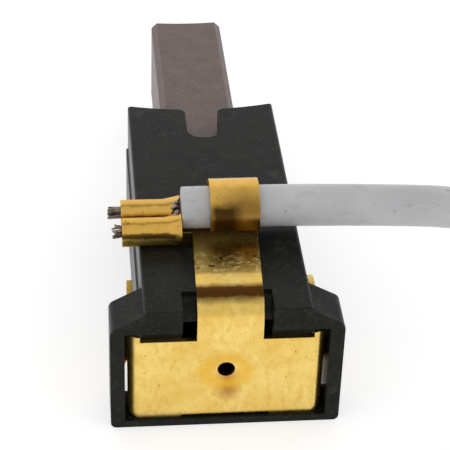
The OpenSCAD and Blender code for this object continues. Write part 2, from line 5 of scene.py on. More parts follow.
import bmesh
import bpy
import numpy as np
from bpy.props import FloatProperty, FloatVectorProperty, IntProperty, PointerProperty
from mathutils import Matrix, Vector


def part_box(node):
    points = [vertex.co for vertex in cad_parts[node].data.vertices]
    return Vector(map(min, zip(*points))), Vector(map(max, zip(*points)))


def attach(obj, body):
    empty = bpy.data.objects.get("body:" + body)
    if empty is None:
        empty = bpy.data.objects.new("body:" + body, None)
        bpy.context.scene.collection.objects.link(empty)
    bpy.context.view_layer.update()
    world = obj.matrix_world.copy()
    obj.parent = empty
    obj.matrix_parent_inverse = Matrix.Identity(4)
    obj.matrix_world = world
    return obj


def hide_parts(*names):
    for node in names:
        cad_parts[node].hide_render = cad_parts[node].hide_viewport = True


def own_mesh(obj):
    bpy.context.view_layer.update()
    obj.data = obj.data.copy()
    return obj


bl_info = {
    "name": "Carbon brush",
    "version": (1, 0, 0),
    "blender": (4, 5, 0),
    "location": "View3D > Sidebar > Brush",
    "description": "Dresses the packed carbon brush with its finishes, lead, strands and stage",
    "category": "Object",
}

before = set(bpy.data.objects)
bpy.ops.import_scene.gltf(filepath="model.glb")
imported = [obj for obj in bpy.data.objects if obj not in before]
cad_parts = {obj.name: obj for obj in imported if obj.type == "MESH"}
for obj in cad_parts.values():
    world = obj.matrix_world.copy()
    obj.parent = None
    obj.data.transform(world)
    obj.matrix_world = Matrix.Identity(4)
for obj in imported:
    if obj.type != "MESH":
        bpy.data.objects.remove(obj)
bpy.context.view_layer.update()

MM = 0.001


def low(node):
    """Lowest corner of a node's box."""
    return np.array(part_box(node)[0])


def high(node):
    """Highest corner of a node's box."""
    return np.array(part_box(node)[1])


def middle(node):
    """Middle of a node's box."""
    return (low(node) + high(node)) / 2


# ---- Places that come from the frame ----

REAR_Y = low("housing")[1]
BODY_TOP = high("housing")[2]
LEAD_D = high("lead_wire")[1] - low("lead_wire")[1]
LEAD_EXIT = np.array([
    low("lead_wire")[0], middle("lead_wire")[1], high("lead_wire")[2] - LEAD_D / 2
])
COIL_CENTRE = middle("lead_coil")
COIL_RADIUS = (high("lead_coil")[0] - low("lead_coil")[0] - LEAD_D) / 2
COIL_FLOOR = low("lead_coil")[2]
CAVITY_Z = middle("carbon")[2]

# The lead's route from its exit, in steps to the right, back and up, as in the part's source
LEAD_STEPS = MM * np.array([
    [0, 0, 0], [6, 0, 0], [11, 0, -0.1], [16, 0, -0.3], [20, 0, -0.6], [24, 0, -1.4], [28, 0, -2.6],
    [32, 0, -4.1], [36, 0, -5.6], [40, 0, -6.8], [44, 0, -7.5],
])
LEAD_TURNS = 1.25
TAIL_STEPS = MM * np.array([[0, 4, 0], [0, 7.5, 0], [0, 11.5, 0], [0, 15.5, 0]])

# Middles of the crimp's two rolled lobes, and its left end, from the sizes in the part's source
LOBE_PITCH = 2.35 * MM
LOBE_Z = BODY_TOP + 1.0 * MM
FAR_LOBE_Y = LEAD_EXIT[1] + LOBE_PITCH / 2
NEAR_LOBE_Y = LEAD_EXIT[1] - LOBE_PITCH / 2
CRIMP_LEFT = LEAD_EXIT[0] - 4.45 * MM

# Middle of the hole in the contact plate
PLATE_HOLE = np.array([0, REAR_Y + 0.5 * MM, CAVITY_Z])


# ---- Sizes and colours that a user would change ----

class BrassFinish(bpy.types.PropertyGroup):
    """Colours of the stamped sheet."""

    bright: FloatVectorProperty(
        name="Bright brass", description="Colour of the clean sheet", subtype="COLOR",
        size=3, min=0, max=1, default=(0.87, 0.64, 0.2),
    )
    deep: FloatVectorProperty(
        name="Deep brass", description="Colour of the slightly tarnished sheet", subtype="COLOR",
        size=3, min=0, max=1, default=(0.78, 0.52, 0.11),
    )
    formed: FloatVectorProperty(
        name="Formed brass", description="Warmer colour of the barrel and the crimp",
        subtype="COLOR", size=3, min=0, max=1, default=(0.68, 0.36, 0.055),
    )
    # Brown painted on the bend of the neck as its dark reflection
    bend_reflection: FloatVectorProperty(
        name="Bend reflection", description="Brown of the bend and of the darkest places", subtype="COLOR",
        size=3, min=0, max=1, default=(0.09, 0.036, 0.007),
    )
    roughness: FloatProperty(
        name="Roughness", description="Roughness of the clean sheet", subtype="FACTOR",
        min=0.05, max=0.6, default=0.2,
    )


class MouldingFinish(bpy.types.PropertyGroup):
    """Colours of the holder, the carbon and the insulation."""

    moulding: FloatVectorProperty(
        name="Moulding", description="Colour of the moulded holder", subtype="COLOR", size=3,
        min=0, max=1, default=(0.0055, 0.0055, 0.0045),
    )
    carbon: FloatVectorProperty(
        name="Carbon", description="Colour of the carbon", subtype="COLOR", size=3,
        min=0, max=1, default=(0.115, 0.078, 0.068),
    )
    insulation: FloatVectorProperty(
        name="Insulation", description="Colour of the lead's insulation", subtype="COLOR", size=3,
        min=0, max=1, default=(0.5, 0.505, 0.515),
    )


class LeadSizes(bpy.types.PropertyGroup):
    """Sizes of the strands and the spring."""

    strand_d: FloatProperty(
        name="Strand diameter", description="Diameter of one copper strand", default=0.2 * MM,
        min=0.1 * MM, max=0.3 * MM, unit="LENGTH", precision=5,
    )
    spring_wire_d: FloatProperty(
        name="Spring wire", description="Diameter of the spring's wire", default=0.5 * MM,
        min=0.3 * MM, max=0.6 * MM, unit="LENGTH", precision=5,
    )
    spring_turns: IntProperty(
        name="Spring turns", description="Active turns of the spring", default=8, min=4, max=12,
    )


class StageSizes(bpy.types.PropertyGroup):
    """Floor, light and camera."""

    floor: FloatProperty(
        name="Floor", description="Side of the square floor", default=1.6, min=0.5, max=5,
        unit="LENGTH",
    )
    light: FloatProperty(
        name="Light", description="Strength of the studio's soft light", default=1.05,
        min=0.1, max=5,
    )
    lens: FloatProperty(
        name="Lens", description="Focal length on a 36 mm wide sensor", default=137.95,
        min=50, max=300, unit="CAMERA",
    )


# ---- Surfaces ----

def ring_faces(rows, columns):
    """Quads of a grid of rows by columns points, whose columns close into a ring."""
    row = np.arange(rows - 1)[:, None]
    column = np.arange(columns)[None, :]
    after = (column + 1) % columns
    here, above = row * columns, (row + 1) * columns
    quads = np.stack([here + column, here + after, above + after, above + column], axis=-1)
    return quads.reshape(-1, 4)


def unit(vectors):
    """Vectors divided by their lengths."""
    return vectors / np.linalg.norm(vectors, axis=-1, keepdims=True)


def smooth_line(points, samples):
    """Catmull-Rom curve: between two points it is the cubic whose slope at each is half the step
    from the point before to the point after."""
    ends = np.vstack([2 * points[0] - points[1], points, 2 * points[-1] - points[-2]])
    before, start, end, after = ends[:-3, None], ends[1:-2, None], ends[2:-1, None], ends[3:, None]
    t = (np.arange(samples) / samples)[None, :, None]
    curve = 0.5 * (
        2 * start + (end - before) * t + (2 * before - 5 * start + 4 * end - after) * t**2
        + (3 * start - before - 3 * end + after) * t**3
    )
    return np.vstack([curve.reshape(-1, 3), points[-1]])


def tube_points(line, radius, sides, up):
    """Rings square to a line: each point is the line's point plus the radius times the cosine of
    its angle along the side vector and the sine along the raised vector."""
    heading = unit(np.gradient(line, axis=0))
    side = unit(np.cross(heading, up))
    raised = np.cross(side, heading)
    angle = np.linspace(0, 2 * np.pi, sides, endpoint=False)[None, :, None]
    ring = np.cos(angle) * side[:, None] + np.sin(angle) * raised[:, None]
    return line[:, None] + np.broadcast_to(radius, len(line))[:, None, None] * ring


def rounded_ends(line, radius, edge):
    """Line and radii with two more rings at each end, so that the rim is a small quarter round."""
    first, last = unit(line[0] - line[1]), unit(line[-1] - line[-2])
    turn = np.array([0.3, 0.7, 1.0]) * np.pi / 2
    out = edge * np.sin(turn)[:, None]
    shrink = edge * (1 - np.cos(turn))
    start = (line[0] - edge * first + out * first)[::-1]
    end = line[-1] - edge * last + out * last
    inner = line[1:-1]
    points = np.vstack([start, inner, end])
    radii = np.concatenate([radius - shrink[::-1], np.full(len(inner), radius), radius - shrink])
    return points, radii


def put_mesh(name, parts, material, body):
    """One object from several closed tubes, each a rows by columns by 3 array of points."""
    points, faces, start = [], [], 0
    for part in parts:
        rows, columns = part.shape[:2]
        points.append(part.reshape(-1, 3))
        faces += (ring_faces(rows, columns)[:, ::-1] + start).tolist()
        faces.append((start + np.arange(columns)).tolist())
        faces.append((start + (rows - 1) * columns + np.arange(columns)[::-1]).tolist())
        start += rows * columns
    mesh = bpy.data.meshes.new(name)
    mesh.from_pydata(np.vstack(points).tolist(), [], faces)
    face_out(mesh)
    mesh.shade_smooth()
    mesh.set_sharp_from_angle(angle=math.radians(50))
    mesh.materials.append(material)
    piece = bpy.data.objects.new(name, mesh)
    bpy.context.scene.collection.objects.link(piece)
    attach(piece, body)
    return piece


def face_out(mesh):
    """Turns every face of a closed mesh outwards."""
    work = bmesh.new()
    work.from_mesh(mesh)
    bmesh.ops.recalc_face_normals(work, faces=work.faces)
    work.to_mesh(mesh)
    work.free()


# ---- Materials ----

class Finish:
    """A material under construction: adds nodes and joins them by name."""

    def __init__(self, name):
        self.material = bpy.data.materials.new(name)
        self.material.use_nodes = True
        self.nodes = self.material.node_tree.nodes
        self.links = self.material.node_tree.links
        self.shader = self.nodes["Principled BSDF"]
        self.place = self.nodes.new("ShaderNodeTexCoord").outputs["Object"]

    def set(self, **sockets):
        """Sets sockets of the shader, with spaces written as underscores."""
        for name, value in sockets.items():
            self.shader.inputs[name.replace("_", " ")].default_value = value
        return self

    def join(self, output, name):
        """Joins an output to a socket of the shader."""
        self.links.new(output, self.shader.inputs[name])

    def stretched(self, scale):
        """Object coordinates times a scale for each axis."""
        node = self.nodes.new("ShaderNodeMapping")
        node.inputs["Scale"].default_value = scale
        self.links.new(self.place, node.inputs["Vector"])
        return node.outputs["Vector"]

    def noise(self, scale, detail=3.0, roughness=0.5, place=None):
        """Fractal noise, scale in cells per metre."""
        node = self.nodes.new("ShaderNodeTexNoise")
        node.inputs["Scale"].default_value = scale
        node.inputs["Detail"].default_value = detail
        node.inputs["Roughness"].default_value = roughness
        self.links.new(self.place if place is None else place, node.inputs["Vector"])
        return node.outputs["Fac"]

    def part_of(self, value, start, end):
        """0 below start, 1 above end, and even between them."""
        node = self.nodes.new("ShaderNodeMapRange")
        node.inputs["From Min"].default_value = start
        node.inputs["From Max"].default_value = end
        self.links.new(value, node.inputs["Value"])
        return node.outputs["Result"]

    def between(self, value, first, last):
        """A number from first to last as value goes from 0 to 1."""
        node = self.nodes.new("ShaderNodeMapRange")
        node.inputs["To Min"].default_value = first
        node.inputs["To Max"].default_value = last
        self.links.new(value, node.inputs["Value"])
        return node.outputs["Result"]

    def arithmetic(self, operation, first, second):
        """Result of two values, the second an output or a number."""
        node = self.nodes.new("ShaderNodeMath")
        node.operation = operation
        self.links.new(first, node.inputs[0])
        if isinstance(second, float):
            node.inputs[1].default_value = second
        else:
            self.links.new(second, node.inputs[1])
        return node.outputs["Value"]

    def all_of(self, *shares):
        """Product of several values."""
        product = shares[0]
        for share in shares[1:]:
            product = self.arithmetic("MULTIPLY", product, share)
        return product

    def blend(self, share, first, second):
        """Colour from first to second by a share, each a colour or an output."""
        node = self.nodes.new("ShaderNodeMix")
        node.data_type = "RGBA"
        self.links.new(share, node.inputs["Factor"])
        for name, value in (("A", first), ("B", second)):
            socket = [s for s in node.inputs if s.name == name and s.type == "RGBA"][0]
            if isinstance(value, bpy.types.NodeSocket):
                self.links.new(value, socket)
            else:
                socket.default_value = (*value, 1)
        return [s for s in node.outputs if s.type == "RGBA"][0]

    def ragged(self, amount, scale):
        """Object coordinates pushed about by noise, which makes painted edges uneven."""
        node = self.nodes.new("ShaderNodeTexNoise")
        node.inputs["Scale"].default_value = scale
        node.inputs["Detail"].default_value = 3
        self.links.new(self.place, node.inputs["Vector"])
        push = self.nodes.new("ShaderNodeVectorMath")
        push.operation = "MULTIPLY_ADD"
        self.links.new(node.outputs["Color"], push.inputs[0])
        push.inputs[1].default_value = (amount,) * 3
        push.inputs[2].default_value = (-amount / 2,) * 3
        add = self.nodes.new("ShaderNodeVectorMath")
        add.operation = "ADD"
        self.links.new(self.place, add.inputs[0])
        self.links.new(push.outputs["Vector"], add.inputs[1])
        return add.outputs["Vector"]

    def near(self, centre, reach, place, fade=0.5):
        """1 inside an ellipsoid round a point, which fades out at its reach."""
        scaled = self.nodes.new("ShaderNodeMapping")
        scaled.inputs["Scale"].default_value = [1 / r for r in reach]
        scaled.inputs["Location"].default_value = [-c / r for c, r in zip(centre, reach)]
        self.links.new(place, scaled.inputs["Vector"])
        length = self.nodes.new("ShaderNodeVectorMath")
        length.operation = "LENGTH"
        self.links.new(scaled.outputs["Vector"], length.inputs[0])
        return self.part_of(length.outputs["Value"], 1.0, 1.0 - fade)

    def band(self, value, start, end, fade):
        """1 between start and end, which fades out over a width on both sides."""
        rise = self.part_of(value, start - fade, start)
        return self.all_of(rise, self.part_of(value, end + fade, end))

    def axis(self, name, place=None):
        """One component of a vector, X, Y or Z of the object coordinates unless told otherwise."""
        node = self.nodes.new("ShaderNodeSeparateXYZ")
        self.links.new(self.place if place is None else place, node.inputs["Vector"])
        return node.outputs[name]

    def soft_edge(self, radius):
        """Normal that rounds the sharp edges over a radius."""
        node = self.nodes.new("ShaderNodeBevel")
        node.samples = 6
        node.inputs["Radius"].default_value = radius
        return node.outputs["Normal"]

    def bump(self, height, strength, distance, normal=None):
        """Relief from a height."""
        node = self.nodes.new("ShaderNodeBump")
        node.inputs["Strength"].default_value = strength
        node.inputs["Distance"].default_value = distance
        self.links.new(height, node.inputs["Height"])
        if normal is not None:
            self.links.new(normal, node.inputs["Normal"])
        return node.outputs["Normal"]


def strip_marks(finish, colour, across, up, on_top):
    """Olive tone of the strip between the bend and the barrel, with a scuffed patch holding dark
    spots painted as the shade of small dents. Returns the colour and the share of the scuffs."""
    under_crimp = finish.part_of(up, BODY_TOP + 0.75 * MM, BODY_TOP + 0.6 * MM)
    strip = finish.all_of(
        finish.band(across, REAR_Y + 3.9 * MM, LEAD_EXIT[1], 0.35 * MM), on_top, under_crimp
    )
    colour = finish.blend(finish.all_of(strip, 0.8), colour, (0.3, 0.2, 0.04))
    patch = finish.band(across, REAR_Y + 4.1 * MM, REAR_Y + 6.2 * MM, 0.3 * MM)
    patch = finish.all_of(patch, strip)
    scuff = finish.all_of(finish.part_of(finish.noise(1900, 4.0, 0.7), 0.5, 0.62), patch)
    colour = finish.blend(finish.all_of(scuff, 0.7), colour, (0.75, 0.6, 0.28))
    # painted shade of small dents: dark spots in the scuffed patch
    dent_shade = finish.all_of(finish.part_of(finish.noise(1250, 3.0, 0.6), 0.6, 0.66), patch)
    return finish.blend(dent_shade, colour, (0.06, 0.045, 0.015)), scuff


def barrel_painted_reflection(finish, colour, uneven):
    """Painted dark reflection on the near side of the barrel: a brown patch, darkest towards the
    crimp.
    """
    along, across, up = (finish.axis(name, uneven) for name in "XYZ")
    middle_side = LEAD_EXIT + MM * np.array([4.6, -2.0, 0.2])
    wide = finish.near(middle_side, MM * np.array([3.2, 2.7, 2.4]), uneven, 0.5)
    colour = finish.blend(finish.all_of(wide, 0.9), colour, (0.24, 0.13, 0.03))
    # darkest part of the painted reflection, towards the crimp
    dark = finish.all_of(
        finish.band(along, LEAD_EXIT[0] + 2.45 * MM, LEAD_EXIT[0] + 3.7 * MM, 0.9 * MM),
        finish.band(up, LEAD_EXIT[2] - 1.1 * MM, LEAD_EXIT[2] + 0.95 * MM, 0.55 * MM),
        finish.band(across, LEAD_EXIT[1] - 2.4 * MM, LEAD_EXIT[1] - 1.3 * MM, 0.4 * MM),
    )
    return finish.blend(finish.all_of(dark, 0.96), colour, (0.05, 0.024, 0.006))


def crimp_reflection_and_line(finish, colour, across, up, on_crimp):
    """Painted dark reflection and shade: a brown band along the near side of each lobe; also a fine
    line on its top.
    """
    for lobe_y in (NEAR_LOBE_Y, FAR_LOBE_Y):
        # painted dark reflection and shade along the near side of the lobe
        reflection_band = finish.all_of(
            finish.band(up, LOBE_Z - 0.02 * MM, LOBE_Z + 0.22 * MM, 0.16 * MM),
            finish.part_of(across, lobe_y - 0.2 * MM, lobe_y - 0.5 * MM),
            finish.band(across, lobe_y - 1.1 * MM, lobe_y, 0.1 * MM),
            on_crimp, 0.85,
        )
        colour = finish.blend(reflection_band, colour, (0.045, 0.02, 0.005))
        line = finish.all_of(
            finish.band(across, lobe_y - 0.42 * MM, lobe_y - 0.34 * MM, 0.1 * MM),
            finish.part_of(up, LOBE_Z, LOBE_Z + 0.5 * MM), on_crimp, 0.6,
        )
        colour = finish.blend(line, colour, (0.3, 0.16, 0.03))
    return colour


def plate_marks(finish, colour, uneven):
    """Warm brown patch below the plate's hole, and a deeper ring on the dish round it."""
    below = PLATE_HOLE + MM * np.array([0.15, 0, -1.3])
    warm_patch = finish.near(below, MM * np.array([1.2, 2, 1.7]), uneven, 0.8)
    colour = finish.blend(warm_patch, colour, (0.36, 0.13, 0.03))
    outer = finish.near(PLATE_HOLE, MM * np.array([2.4, 2, 2.0]), uneven, 0.3)
    inner = finish.near(PLATE_HOLE, MM * np.array([1.3, 2, 1.1]), uneven, 0.5)
    ring = finish.all_of(outer, finish.between(inner, 1.0, 0.0), 0.7)
    return finish.blend(ring, colour, (0.8, 0.47, 0.05))


def brass_finish(name, props):
    """Bright rolled sheet: sandy grain, cloudy tone and dark specks, with a painted dark brown
    reflection on the bend of the neck, the barrel and the lobes of the crimp, and a warm brown
    patch below the plate's hole."""
    finish = Finish(name).set(Metallic=1.0)
    uneven = finish.ragged(0.35 * MM, 1800)
    across, up = finish.axis("Y", uneven), finish.axis("Z", uneven)
    on_top = finish.part_of(up, BODY_TOP - 0.7 * MM, BODY_TOP - 0.3 * MM)
    on_crimp = finish.part_of(finish.axis("X"), LEAD_EXIT[0], LEAD_EXIT[0] - 0.3 * MM)

    cloud = finish.part_of(finish.noise(320, 4.0, 0.6), 0.42, 0.68)
    colour = finish.blend(cloud, tuple(props.bright), tuple(props.deep))
    sand = finish.noise(2300, 3.0, 0.6, finish.stretched((1.0, 1.0, 0.6)))
    sand = finish.part_of(sand, 0.45, 0.75)
    colour = finish.blend(finish.all_of(sand, 0.7), colour, (0.7, 0.42, 0.08))
    colour, scuff = strip_marks(finish, colour, across, up, on_top)
    # Painted reflection: a dark brown band on the bend of the neck stands in for the dark it
    # mirrors
    bend = finish.band(across, REAR_Y + 1.35 * MM, REAR_Y + 2.1 * MM, 0.55 * MM)
    colour = finish.blend(finish.all_of(bend, on_top), colour, tuple(props.bend_reflection))
    formed = finish.part_of(finish.axis("Z"), BODY_TOP + 0.8 * MM, BODY_TOP + 1.3 * MM)
    colour = finish.blend(finish.all_of(formed, 0.6), colour, tuple(props.formed))
    colour = barrel_painted_reflection(finish, colour, uneven)
    colour = crimp_reflection_and_line(finish, colour, across, up, on_crimp)
    colour = plate_marks(finish, colour, uneven)
    speck = finish.part_of(finish.noise(2100, 2.0, 0.5), 0.7, 0.74)
    colour = finish.blend(finish.all_of(speck, 0.7), colour, (0.2, 0.12, 0.04))
    finish.join(colour, "Base Color")

    smooth = props.roughness
    rough = finish.between(finish.noise(1500, 4.0, 0.65), smooth - 0.02, smooth + 0.16)
    finish.join(finish.arithmetic("ADD", rough, finish.all_of(on_crimp, 0.12)), "Roughness")
    rolled = finish.noise(900, 3.0, 0.6, finish.stretched((7.0, 0.6, 7.0)))
    relief = finish.bump(rolled, 0.1, 0.02 * MM, finish.soft_edge(0.08 * MM))
    relief = finish.bump(scuff, 0.3, 0.03 * MM, relief)
    grain = finish.noise(5000, 2.0, 0.6)
    finish.join(finish.bump(grain, 0.4, 0.012 * MM, relief), "Normal")
    return finish.material


def moulding_finish(name, props):
    """Dark moulded thermoset: faint mottling, fine pimples, pale scuffs and slightly worn edges."""
    finish = Finish(name).set(
        IOR=1.48, Specular_IOR_Level=0.06, Coat_Weight=0.45, Coat_Roughness=0.22, Coat_IOR=1.25
    )
    mottle = finish.part_of(finish.noise(500, 5.0, 0.6), 0.35, 0.7)
    base = tuple(props.moulding)
    colour = finish.blend(mottle, base, tuple(1.9 * c for c in base))
    speckle = finish.part_of(finish.noise(3600, 3.0, 0.6), 0.58, 0.74)
    colour = finish.blend(finish.all_of(speckle, 0.5), colour, (0.06, 0.06, 0.055))
    scuff = finish.part_of(finish.noise(420, 5.0, 0.7), 0.56, 0.72)
    colour = finish.blend(finish.all_of(scuff, 0.35), colour, (0.07, 0.07, 0.065))
    finish.join(colour, "Base Color")
    finish.join(finish.between(finish.noise(900, 4.0, 0.6), 0.4, 0.6), "Roughness")
    lines = finish.noise(1000, 3.0, 0.6, finish.stretched((5.0, 0.35, 5.0)))
    relief = finish.bump(lines, 0.1, 0.02 * MM, finish.soft_edge(0.12 * MM))
    pimples = finish.noise(4200, 3.0, 0.6)
    finish.join(finish.bump(pimples, 0.5, 0.03 * MM, relief), "Normal")
    return finish.material


def carbon_finish(name, props):
    """Pressed metal graphite: matte grain, tiny bright flakes and small dark pits."""
    finish = Finish(name).set(IOR=1.5, Coat_Weight=0.3, Coat_Roughness=0.3, Coat_IOR=1.3)
    base = tuple(props.carbon)
    mottle = finish.part_of(finish.noise(700, 5.0, 0.65), 0.35, 0.7)
    colour = finish.blend(mottle, tuple(0.86 * c for c in base), tuple(1.2 * c for c in base))
    flake = finish.part_of(finish.noise(4200, 3.0, 0.6), 0.6, 0.74)
    colour = finish.blend(finish.all_of(flake, 0.5), colour, (0.42, 0.33, 0.29))
    pit = finish.part_of(finish.noise(1700, 3.0, 0.6), 0.68, 0.72)
    colour = finish.blend(finish.all_of(pit, 0.85), colour, (0.03, 0.025, 0.022))
    finish.join(colour, "Base Color")
    finish.join(finish.between(flake, 0.62, 0.35), "Roughness")
    finish.join(finish.all_of(flake, 0.6), "Metallic")
    relief = finish.bump(finish.noise(4500, 4.0, 0.65), 0.25, 0.02 * MM, finish.soft_edge(0.1 * MM))
    finish.join(finish.bump(finish.between(pit, 1.0, 0.0), 0.5, 0.05 * MM, relief), "Normal")
    return finish.material


def insulation_finish(name, props):
    """Smooth extruded insulation with a faint waviness and rare dark marks."""
    finish = Finish(name).set(IOR=1.46, Subsurface_Weight=0.15, Subsurface_Scale=0.0006)
    base = tuple(props.insulation)
    cloud = finish.part_of(finish.noise(260, 4.0, 0.6), 0.35, 0.7)
    colour = finish.blend(cloud, base, tuple(0.86 * c for c in base))
    streak = finish.noise(900, 5.0, 0.7, finish.stretched((0.35, 1.0, 1.0)))
    streak = finish.part_of(streak, 0.56, 0.74)
    colour = finish.blend(finish.all_of(streak, 0.45), colour, (0.2, 0.195, 0.19))
    mark = finish.part_of(finish.noise(1500, 3.0, 0.6), 0.69, 0.73)
    colour = finish.blend(finish.all_of(mark, 0.75), colour, (0.09, 0.08, 0.08))
    finish.join(colour, "Base Color")
    finish.join(finish.between(finish.noise(700, 3.0, 0.6), 0.32, 0.46), "Roughness")
    wave = finish.noise(420, 3.0, 0.5, finish.stretched((0.4, 1.0, 1.0)))
    finish.join(finish.bump(wave, 0.15, 0.05 * MM), "Normal")
    return finish.material


def wire_finish(name, clean, dull, roughness):
    """Drawn metal wire: clean and dull patches with fine lengthwise grain."""
    finish = Finish(name).set(Metallic=1.0)
    patch = finish.part_of(finish.noise(1400, 4.0, 0.6), 0.4, 0.65)
    finish.join(finish.blend(patch, clean, dull), "Base Color")
    rough = finish.between(finish.noise(3000, 3.0, 0.6), roughness - 0.08, roughness + 0.15)
    finish.join(rough, "Roughness")
    finish.join(finish.bump(finish.noise(9000, 2.0, 0.6), 0.15, 0.01 * MM), "Normal")
    return finish.material


def nylon_finish(name):
    """Natural nylon: milky, slightly see-through at its edges, with a faint moulded texture."""
    finish = Finish(name).set(IOR=1.53, Subsurface_Weight=0.3, Subsurface_Scale=0.001)
    cloud = finish.part_of(finish.noise(600, 3.0, 0.5), 0.35, 0.7)
    finish.join(finish.blend(cloud, (0.8, 0.79, 0.72), (0.72, 0.71, 0.64)), "Base Color")
    finish.join(finish.between(finish.noise(1500, 3.0, 0.6), 0.3, 0.45), "Roughness")
    relief = finish.bump(finish.noise(3500, 2.0, 0.6), 0.12, 0.02 * MM, finish.soft_edge(0.12 * MM))
    finish.join(relief, "Normal")
    return finish.material


def powder_finish(name):
    """Packed copper powder: coarse matte grains with a few bright ones."""
    finish = Finish(name)
    grain = finish.part_of(finish.noise(5000, 4.0, 0.7), 0.35, 0.7)
    finish.join(finish.blend(grain, (0.2, 0.09, 0.05), (0.5, 0.26, 0.15)), "Base Color")
    finish.join(finish.between(grain, 0.8, 0.5), "Roughness")
    finish.join(finish.bump(grain, 0.5, 0.04 * MM), "Normal")
    return finish.material


def stage_finish(name):
    """Matte white table with the faintest tone in it, lit a little from inside."""
    finish = Finish(name).set(Emission_Strength=0.55, Emission_Color=(1, 1, 1, 1))
    cloud = finish.part_of(finish.noise(9, 3.0, 0.5), 0.3, 0.7)
    finish.join(finish.blend(cloud, (0.62, 0.62, 0.62), (0.6, 0.6, 0.6)), "Base Color")
    finish.join(finish.between(cloud, 0.9, 1.0), "Roughness")
    return finish.material


def give(node, material):
    """Puts a material on every slot of a CAD node."""
    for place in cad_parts[node].material_slots:
        place.material = material


# ---- Operators ----

class BRUSH_OT_holder(bpy.types.Operator):
    """Gives the moulded holder its finish."""

    bl_idname = "brush.holder"
    bl_label = "Holder"

    def execute(self, context):
        give("housing", moulding_finish("moulding", context.scene.brush_mouldings))
        return {"FINISHED"}


class BRUSH_OT_clip(bpy.types.Operator):
    """Gives the contact clip and the receptacle their bright brass."""

    bl_idname = "brush.clip"
    bl_label = "Contact clip"

    def execute(self, context):
        brass = brass_finish("clip_brass", context.scene.brush_brass)
        give("contact_clip", brass)
        give("receptacle", brass)
        return {"FINISHED"}


class BRUSH_OT_carbon(bpy.types.Operator):
    """Gives the carbon and its packed powder their finishes."""

    bl_idname = "brush.carbon"
    bl_label = "Carbon"

    def execute(self, context):
        give("carbon", carbon_finish("carbon", context.scene.brush_mouldings))
        give("tamping", powder_finish("copper_powder"))
        return {"FINISHED"}


def lead_line():
    """Centreline of the lead: its steps from the exit, then the turns of the coil, then its tail.
    In the coil the angle grows evenly from the near side, and the height goes from the upper layer
    to the lower one by a smooth step between 100 and 190 degrees of turn."""
    turned = np.linspace(0, 2 * np.pi * LEAD_TURNS, 24)
    angle = turned - np.pi / 2
    share = np.clip((np.degrees(turned) - 100) / 90, 0, 1)
    layer = 1 - share**2 * (3 - 2 * share)
    coil = np.stack([
        COIL_CENTRE[0] + COIL_RADIUS * np.cos(angle),
        COIL_CENTRE[1] + COIL_RADIUS * np.sin(angle),
        COIL_FLOOR + LEAD_D * (0.5 + layer),
    ], axis=1)
    points = np.vstack([LEAD_EXIT + LEAD_STEPS, coil, coil[-1] + TAIL_STEPS])
    return smooth_line(points, 6)


class BRUSH_OT_lead(bpy.types.Operator):
    """Makes the insulated lead, whose unseen length is coiled up and tied."""

    bl_idname = "brush.lead"
    bl_label = "Lead"

    def execute(self, context):
        line = lead_line()
        insulation = insulation_finish("insulation", context.scene.brush_mouldings)
        points, radii = rounded_ends(line, LEAD_D / 2, 0.12 * MM)
        lead = put_mesh(
            "lead", [tube_points(points, radii, 32, (0, 0, 1))], insulation, "holder"
        )
        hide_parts("lead_wire", "lead_coil", "lead_tail")
        give("coil_tie", nylon_finish("tie_nylon"))
        return {"FINISHED"}


def twisted_strand(start, end, reach, phase, twist, spread, radius):
    """One strand of a bundle: along the line from start to end, at a distance from it that grows
    from reach by spread, and at an angle that grows from phase by twist."""
    u = np.linspace(0, 1, 14)
    axis = unit(end - start)
    side = unit(np.cross(axis, (0, 0, 1)))
    raised = np.cross(side, axis)
    angle = (phase + twist * u)[:, None]
    away = (reach + spread * u**2)[:, None]
    outward = np.cos(angle) * side + np.sin(angle) * raised
    line = start + (end - start) * u[:, None] + away * outward
    points, radii = rounded_ends(line, radius, 0.4 * radius)
    return tube_points(points, radii, 10, (0, 0, 1))


class BRUSH_OT_strands(bpy.types.Operator):
    """Makes the bare strands that stand out of the crimp: an even bundle in the far lobe, and loose
    strands in the near one."""

    bl_idname = "brush.strands"
    bl_label = "Bare strands"

    def execute(self, context):
        radius = context.scene.brush_lead.strand_d / 2
        inside = CRIMP_LEFT + 0.7 * MM
        reach_left = low("bare_strands")[0]
        chance = np.random.default_rng(5)
        parts = []
        for side, count, loose in ((1, 13, 0.0), (-1, 11, 1.0)):
            y = LEAD_EXIT[1] + side * LOBE_PITCH / 2
            for number in range(count):
                ring = 0 if number == 0 else (1 if number < 6 else 2)
                reach = ring * 0.19 * MM
                phase = 2.4 * number + chance.uniform(-0.2, 0.2)
                length = chance.uniform(0.86, 1.0) - loose * chance.uniform(0.15, 0.5)
                start = np.array([inside, y, LOBE_Z])
                end = np.array([CRIMP_LEFT - (CRIMP_LEFT - reach_left) * length, y, LOBE_Z])
                spread = loose * chance.uniform(0.0, 0.38) * MM
                parts.append(twisted_strand(
                    start, end, reach, phase, 0.5 - 1.2 * loose, spread,
                    radius * (1 - 0.25 * loose),
                ))
            # strands in the mouth, up to the insulation's cut end
            for number in range(7):
                phase = 2 * np.pi * number / 6
                reach = 0 if number == 6 else 0.3 * MM
                start = np.array([LEAD_EXIT[0] - 1.6 * MM, y, LOBE_Z])
                end = LEAD_EXIT + MM * np.array([-0.01, side * 0.6, -0.3])
                parts.append(twisted_strand(
                    start, end, reach, phase, 0.8, 0.1 * MM, radius * 1.3
                ))
        tinned = wire_finish("tinned_copper", (0.36, 0.31, 0.26), (0.1, 0.075, 0.06), 0.35)
        give("receptacle_strands", tinned)
        strands = put_mesh("strands", parts, tinned, "holder")
        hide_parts("bare_strands")
        return {"FINISHED"}


